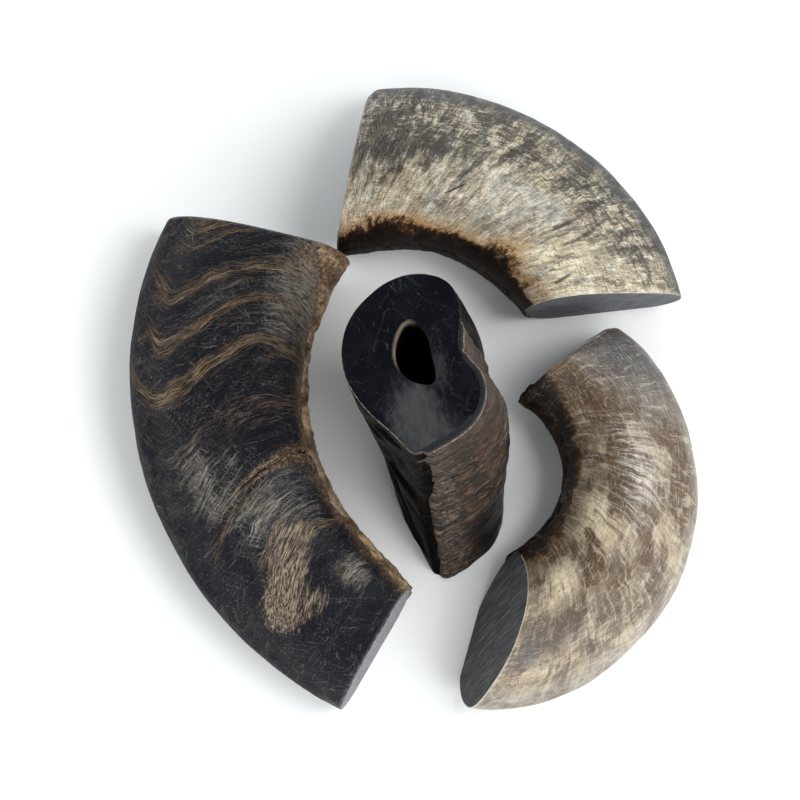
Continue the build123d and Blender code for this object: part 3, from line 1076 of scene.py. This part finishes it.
def black_horn():
    look = Look("black_horn")
    flow = look["flow"]
    broad = flow.noise((0.1, 0.12, 0.12), 61, 4, 0.6)
    grain = flow.noise((0.4, 1.2, 1.2), 62, 4, 0.68)
    fibre = flow.noise((0.1, 0.8, 0.8), 63, 4, 0.65)
    speck = flow.noise((2.2, 2.2, 2.2), 64, 2, 0.7)
    side = look.ramp(broad, (0.35, "#030303"), (0.52, "#070606"), (0.68, "#15100d"))
    side = look.mix(fibre.ease(0.52, 0.68, 0.4), side, "#1a130f")
    top = look.ramp(broad, (0.3, "#03050b"), (0.5, "#06080f"), (0.68, "#0d0f15"))
    smoke = look["fan"] + flow.noise((0.3, 0.16, 0.4), 65, 5, 0.7) * 2.0 - 1.0
    top = look.mix(smoke.ease(0.1, 1.2) * look["fan"].ease(0.0, 0.3), top, "#3a3a3c")
    wisps = flow.noise((0.4, 0.3, 0.9), 66, 5, 0.72).ease(0.56, 0.72, 0.45)
    top = look.mix(wisps, top, "#22232a")
    tilted = flow.leaning(35, "X_AXIS").swayed(5, 4)
    scratch = tilted.lines((0.1, 0.09, 0.7), 61, 0.009, 0.45)
    tilted = flow.leaning(-40, "X_AXIS").swayed(5, 4)
    scratch = scratch | tilted.lines((0.1, 0.08, 0.6), 62, 0.009, 0.42)
    top = look.mix(scratch * 0.1, top, "#8d8d90")
    look.base = look.mix(look["face"], side, top)
    rim = look["rim"] * grain.ease(0.38, 0.58, 1.0, 0.15)
    look.coat("#9a9082", rim)
    look.coat("#77716b", speck.ease(0.72, 0.8, 0.4))
    look.coat("#050403", look["bore"])
    look.coat("#6d6254", look["lip"] * grain.ease(0.3, 0.6, 1.0, 0.4))
    side_scratch = (
        flow.leaning(30).lines((0.6, 0.08, 0.08), 63, 0.01, 0.45)
        | flow.lines((0.08, 0.6, 0.6), 64, 0.01, 0.4)
    )
    not_face = 1.0 - look["face"]
    look.coat("#8d8479", side_scratch * 0.07 * not_face)
    rough = grain.ease(0.3, 0.7, 0.42, 0.26) + look["face"] * 0.14 + look["bore"] * 0.4
    height = grain * 0.5 + fibre * 0.5
    look.specular(0.03, look["face"] * 0.05 + 0.01)
    return look.done(rough, height, 0.00014)


# ---- rind ----
def rind_masks(seed):
    def masks(flow, away):
        return {
            "tone": noise(flow * [1, 0.7, 0.7], 5, seed, 3) * 0.5 + 0.5,
            "pale": ease(noise(flow, 9, seed + 1, 3), 0.1, 0.7),
        }

    return masks


def rough_rind(name, dark, brown, light, pale):
    """Fibrous rind, in three shades and that of its worn places."""
    look = Look(name)
    flow = look["flow"]
    fibre = flow.swayed(4, 2).noise((0.3, 1.5, 1.5), 81, 5, 0.72)
    lump = flow.noise((0.5, 0.5, 0.5), 82, 5, 0.7)
    speck = flow.noise((1.9, 1.9, 1.9), 83, 4, 0.75)
    tone = look["tone"] * 0.35 + lump * 0.65
    look.base = look.ramp(tone, (0.3, dark), (0.5, brown), (0.7, light))
    look.coat(pale, look["pale"] * 0.6)
    look.coat(dark, fibre.ease(0.5, 0.64, 0.6))
    look.coat(light, fibre.ease(0.45, 0.35, 0.45))
    look.coat(dark, speck.ease(0.58, 0.7, 0.7))
    look.coat(light, speck.ease(0.38, 0.28, 0.6))
    height = fibre * 0.8 + speck * 0.6
    look.specular(0.12)
    return look.done(speck.ease(0.3, 0.7, 0.85, 0.55), height, 0.0004)


def corner_drift(along):
    """How far round, in millimetres, the standing length's corner has moved at a depth."""
    return -6.5 * ease(along, 4, 72)


# Cracks across the keel of the standing length: place along it, and slant
KEEL_CRACKS = [(9, -0.35), (19, -0.25), (31, -0.3), (38, 0.2), (47, -0.3), (55, 0.15), (63, 0.1)]


def keel_crack(flow, away, edge, core, reach):
    """1 in the keel's cracks as far round as they reach, fading from their cores to their edges."""
    wander, crack = noise(flow, 2.5, 142, 2) * 0.5, np.zeros(len(flow))
    for place, slant in KEEL_CRACKS:
        gap = np.abs(flow[:, 0] - place - (away - 4) * slant - wander)
        crack = np.maximum(crack, ease(gap, edge, core))
    return crack * ease(away, reach, 7)


def keel_masks(flow, away):
    along = flow[:, 0]
    away = away - corner_drift(along)
    wider = ease(along, 30, 70) * 2
    rust = bump(along, 30, 30) * bump(away, 17, 13) + bump(along, 8, 10) * bump(away, 32, 8) * 0.9
    # The near-black underside beside the keel and by the foot: partly the horn's own black, partly
    # painted shade where it turns under, away from the light.
    under = ease(away, 20, 26) * ease(along, 34, 52) + ease(along, 60, 72) * ease(away, 6, 13)
    return {
        "keel": ease(away, 5.5 + noise(flow, 4, 141, 3) * 2 + wider, 3 + wider),
        "rust": np.clip(rust, 0, 1),
        "under": np.clip(under, 0, 1),
        "crack": keel_crack(flow, away, 1.1, 0.35, 12) * ease(away, -4, -2),
        "face": ease(along, 0.3, 0.1),
        "rim": ease(along, 0.8, 0.2),
    }


def keel_rind():
    look = Look("keel_rind")
    flow = look["flow"]
    fibre = flow.swayed(5, 3).noise((1.3, 0.3, 0.3), 91, 4, 0.74)
    cross = flow.noise((0.2, 1.3, 1.3), 92, 4, 0.7)
    lump = flow.noise((0.2, 0.25, 0.25), 93, 5, 0.65)
    speck = flow.noise((2.0, 2.0, 2.0), 94, 3, 0.75)
    look.base = look.ramp(lump, (0.34, "#080504"), (0.48, "#170e0a"), (0.6, "#2f1d13"), (0.72, "#553a25"))
    look.coat("#171110", fibre.ease(0.5, 0.64, 0.4))
    look.coat("#6c4d37", fibre.ease(0.44, 0.33, 0.25))
    rust = look["rust"] + lump * 1.4 - 0.75
    rusty = rust.ease(0.4, 1.1) * cross.ease(0.45, 0.62, 0.65, 0.05)
    look.coat("#472619", rusty)
    keel = look["keel"] * speck.ease(0.3, 0.55, 1.0, 0.65)
    bark = flow.swayed(4, 2).noise((0.9, 0.45, 0.45), 95, 5, 0.76)
    bark = look.ramp(bark, (0.38, "#0c0807"), (0.5, "#2c231d"), (0.62, "#5e5145"))
    look.coat(bark, keel)
    fine = (
        flow.leaning(25).lines((0.9, 0.12, 0.12), 91, 0.012, 0.7)
        | flow.leaning(-30).lines((0.8, 0.1, 0.1), 92, 0.012, 0.6)
    )
    look.coat("#a48d74", fine * 0.38)
    look.coat("#b9a590", speck.ease(0.64, 0.74, 0.7))
    look.coat("#0d0806", speck.ease(0.46, 0.36, 0.5))
    look.coat("#120c0a", speck.ease(0.36, 0.28, 0.6))
    look.coat("#0c0807", look["crack"])
    # Near-black over the rind's far edge and foot: partly the horn's own black, partly painted shade of
    # the undercut.
    look.coat("#080708", look["under"] * 0.96)
    look.coat("#070910", look["face"])
    rim = look["rim"] * look["deep"].ease(0.22, 0.08)
    look.coat("#857665", rim * speck.ease(0.4, 0.6, 0.85, 0.15))
    height = fibre * 0.8 + speck * 0.4 - look["crack"] * 1.2
    look.specular(0.3)
    rough = speck.ease(0.3, 0.7, 0.75, 0.5) - look["under"] * 0.25
    return look.done(rough, height, 0.0003)


SUNK = 0.55  # how far a strip's edges lie below the side that they cover


def rind_skin(reach, low, proud, seed, lumps=1.0):
    """How far a strip of rind stands out: full in its middle, sinking out of sight at its edges."""

    def relief(flow, away):
        along = flow[:, 0]
        ragged = noise(flow, 3.2, seed, 3) * 1.6 + noise(flow, 9, seed + 1, 2) * 1.5
        top = reach(along) + ragged
        cover = ease(away, top + 1.2, top - 3) * ease(away, low - 0.5, low + 2 + ragged * 0.3)
        rough = noise(flow, 2.0, seed + 2, 3) * 0.35 + noise(flow, 6, seed + 3, 2) * 0.4
        return -SUNK + cover * (SUNK + 0.2 + proud + rough * lumps)

    return relief


def bore(length, previous, middle):
    """The hollow core, from a middle at the sawn face down to where it closes."""
    skin, slice_at, columns, steps = Skin("standing_horn"), stack(**STANDING), length.columns, 26
    for k in range(1, steps + 1):
        drop = BORE_DEPTH * (k / steps) ** 0.85
        _, across, up = slice_at(drop / STANDING["top"])
        guess = np.array([*middle[:2], STANDING["top"] - drop])
        here = skin.centred(guess, across, up, skin.first)
        ring = loop_of(skin.first, here, across, up, columns)
        span = np.linalg.norm(ring - here, axis=1)
        if span.max() > WIDEST_BORE or span.mean() < CLOSED_BORE:
            break
        middle = here
        flow = np.stack([np.full(columns, drop), (ring - middle) @ across, (ring - middle) @ up], axis=1)
        rough = noise(ring, 3, 151, 3) * 0.12 * min(1, drop / 3)
        ring = ring + (ring - middle) / span[:, None] * rough[:, None]
        previous = length.add(ring, flow, np.zeros(columns), 2.0, previous)
    length.hub(middle - UP * 0.6, np.array([BORE_DEPTH, 0.0, 0.0]), 2.0, previous)


# ---- build the lengths ----
def outer_corner(flow):
    return ease(flow[..., 1], 18, 27)


RIND_SEEDS = 158  # keeps the rinds' random draws apart from every other


def lying(name, plan, length, columns, step, corners, relief, masks, seed, rind, span, strips):
    """A lying length, sawn at both its ends, and its strip of rind."""
    shape = measure(name, fan(**plan), length, columns, step, 0.6, sink=1.2)
    made = Length(shape, corners, relief)
    for end in (0, 1):
        made.cap(end, 1.1, sawn(seed))
    horn = made.finish(name + "_body", masks)
    return horn, shell(name + "_skin", shape, rind, 1.2, span, strips, rind_masks(seed + RIND_SEEDS))


left_reach = bend_of(
    [0, 4, 12, 20, 32, 60, 84, 90, 98, 120, 146], [20, 18, 12, 7, 4.5, 5, 8, 12, 8, 7, 9]
)
left_horn, left_rind = lying(
    "left_horn", LEFT, 146, 236, 0.6, blunt(0.5), left_relief, left_masks, 3,
    rind_skin(left_reach, -10, 0.9, 5), (-13, 25), 76,
)  # fmt: skip
upper_reach = bend_of([0, 20, 60, 90, 108], [3, 4, 3, 4, 3])
upper_horn, upper_rind = lying(
    "upper_horn", UPPER, 108, 232, 0.5, blunt(0.5, (0, 3.2, outer_corner)), upper_relief, upper_masks, 13,
    rind_skin(upper_reach, -10, 0.2, 15, 0.4), (-13, 11), 50,
)  # fmt: skip
right_reach = bend_of([0, 20, 60, 90, 104], [3, 3, 2, 3, 3])
right_horn, right_rind = lying(
    "right_horn", RIGHT, 104, 200, 0.5, blunt(0.6, (0, 3.5, outer_corner)), right_relief, right_masks, 23,
    rind_skin(right_reach, -8, 0.2, 25, 0.5), (-11, 9), 44,
)  # fmt: skip

standing_shape = measure("standing_horn", stack(**STANDING), 82, 250, 0.5, 0.5, sink=2.0)
standing = Length(standing_shape, blunt(0.35), standing_relief)
core = Skin("standing_horn")
down = STANDING["top"] - 0.4
start = standing_shape["middle"][0] * np.array([1, 1, 0]) + UP * down
across, up = standing_shape["across"][0], standing_shape["up"][0]
start = core.centred(start, across, up, core.first)
mouth = loop_of(core.first, start, across, up, standing.columns)
mouth[:, 2] = STANDING["top"]
standing.cap(1, 1.0, sawn(33))
bore(standing, standing.cap(0, 0.9, sawn(34), hole=mouth), start)


def with_lip(points, flow, away, cap, length):
    """The standing length's masks, with the core's pale lip, which shows on its far left."""
    gap = curve_distance(points[:, :2], np.vstack([mouth[::4, :2], mouth[:1, :2]]))
    side = ease((points - start) @ (across * 0.6 - up * 0.8), 1.5, 5.0)
    lip = ease(gap, 0.6, 0.15) * side * (cap > 0) * ease(points[:, 2], 70, 74)
    return {**standing_masks(points, flow, away, cap, length), "lip": lip}


standing_horn = standing.finish("standing_horn_body", with_lip)


def keel_relief(flow, far):
    """far is the distance round, and away, that from the corner, which drifts with depth."""
    along = flow[:, 0]
    away = far - corner_drift(along)
    fibres = noise(flow * [1, 0.12, 0.12], 1.6, 191, 3) * 0.16
    lumps = noise(flow, 6, 192, 3) * 0.45 * ease(along, 0.5, 5)
    crack = keel_crack(flow, away, 0.7, 0.1, 11) * ease(away, -3, 0)
    cover = ease(far, 44 + noise(flow, 5, 193, 2) * 2, 41)
    cover = cover * ease(away, -3.5, -0.5 + noise(flow, 3, 194, 2) * 0.6)
    groove = 0.9 * bump(far, 35, 1.6) * ease(along, 18, 2)
    return -0.5 + cover * (2.1 + fibres + lumps - 1.3 * crack - groove)


keel = shell("standing_horn_skin", standing_shape, keel_relief, 0.8, (-12, 46), 116, keel_masks)

BROWN_RIND = rough_rind("brown_rind", "#22170f", "#6d5743", "#bda484", "#978773")
BLACK_RIND = rough_rind("black_rind", "#060404", "#140d09", "#43301f", "#1f1611")
PIECES = [
    (left_horn, "left", "left_horn", "dark_banded_horn", dark_horn()),
    (upper_horn, "upper", "upper_horn", "pale_streaked_horn", pale_horn()),
    (right_horn, "right", "right_horn", "mottled_horn", taupe_horn()),
    (standing_horn, "standing", "standing_horn", "black_horn", black_horn()),
    (left_rind, "left", "left_horn_rind", "rind", BROWN_RIND),
    (upper_rind, "upper", "upper_horn_rind", "rind", BLACK_RIND),
    (right_rind, "right", "right_horn_rind", "rind", BLACK_RIND),
    (keel, "standing", "standing_horn_rind", "rind", keel_rind()),
]
for thing, body, node, slot, material in PIECES:
    thing.data.materials.append(material)
    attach(thing, body)
    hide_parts(node)

# ---- camera, floor and light ----
TARGET = Vector((-0.004, -0.003, 0.015))
ELEVATION = math.radians(80)
DISTANCE = 0.8
camera = bpy.data.objects.new("camera", bpy.data.cameras.new("camera"))
camera.location = TARGET + DISTANCE * Vector((0, -math.cos(ELEVATION), math.sin(ELEVATION)))
camera.rotation_euler = (math.pi / 2 - ELEVATION, 0, 0)
camera.data.sensor_width = 36
camera.data.lens = 120
bpy.context.scene.collection.objects.link(camera)
bpy.context.scene.camera = camera


def ground(half):
    """A plain pale floor, from its half-width."""
    mesh = bpy.data.meshes.new("floor")
    corners = [(x * half, y * half, 0) for x, y in ((-1, -1), (1, -1), (1, 1), (-1, 1))]
    mesh.from_pydata(corners, [], [(0, 1, 2, 3)])
    floor = bpy.data.objects.new("floor", mesh)
    bpy.context.scene.collection.objects.link(floor)
    paper = Look("paper")
    paper.specular(0.1)
    paper.put(paper.inputs["Base Color"], "#f6f7f7")
    paper.put(paper.inputs["Roughness"], 0.9)
    mesh.materials.append(paper.material)


def sky(low, zenith):
    """A white room that is darker straight overhead, where the photographer stands."""
    world = bpy.data.worlds.new("room")
    bpy.context.scene.world = world
    world.use_nodes = True
    nodes, links = world.node_tree.nodes, world.node_tree.links
    place = nodes.new("ShaderNodeTexCoord")
    parts = nodes.new("ShaderNodeSeparateXYZ")
    links.new(place.outputs["Generated"], parts.inputs[0])
    blend = nodes.new("ShaderNodeMapRange")
    blend.interpolation_type = "SMOOTHSTEP"
    links.new(parts.outputs["Z"], blend.inputs[0])
    for socket, value in zip(blend.inputs[1:5], (0.45, 0.75, low, zenith)):
        socket.default_value = value
    back = nodes["Background"]
    back.inputs[0].default_value = colour("#f4f7f8")
    links.new(blend.outputs[0], back.inputs[1])


def softbox(name, place, size, power):
    light = bpy.data.lights.new(name, "AREA")
    light.shape, light.size, light.energy = "DISK", size, power
    thing = bpy.data.objects.new(name, light)
    thing.location = place
    thing.rotation_euler = (Vector((0, 0, 0.03)) - Vector(place)).to_track_quat("-Z", "Y").to_euler()
    bpy.context.scene.collection.objects.link(thing)


ground(4)
sky(2.55, 0.15)
softbox("key", (1.03, 0, 1.47), 1.0, 15)
softbox("fill", (1.1, -1.1, 0.9), 1.0, 13)
bpy.context.scene.view_settings.view_transform = "Standard"
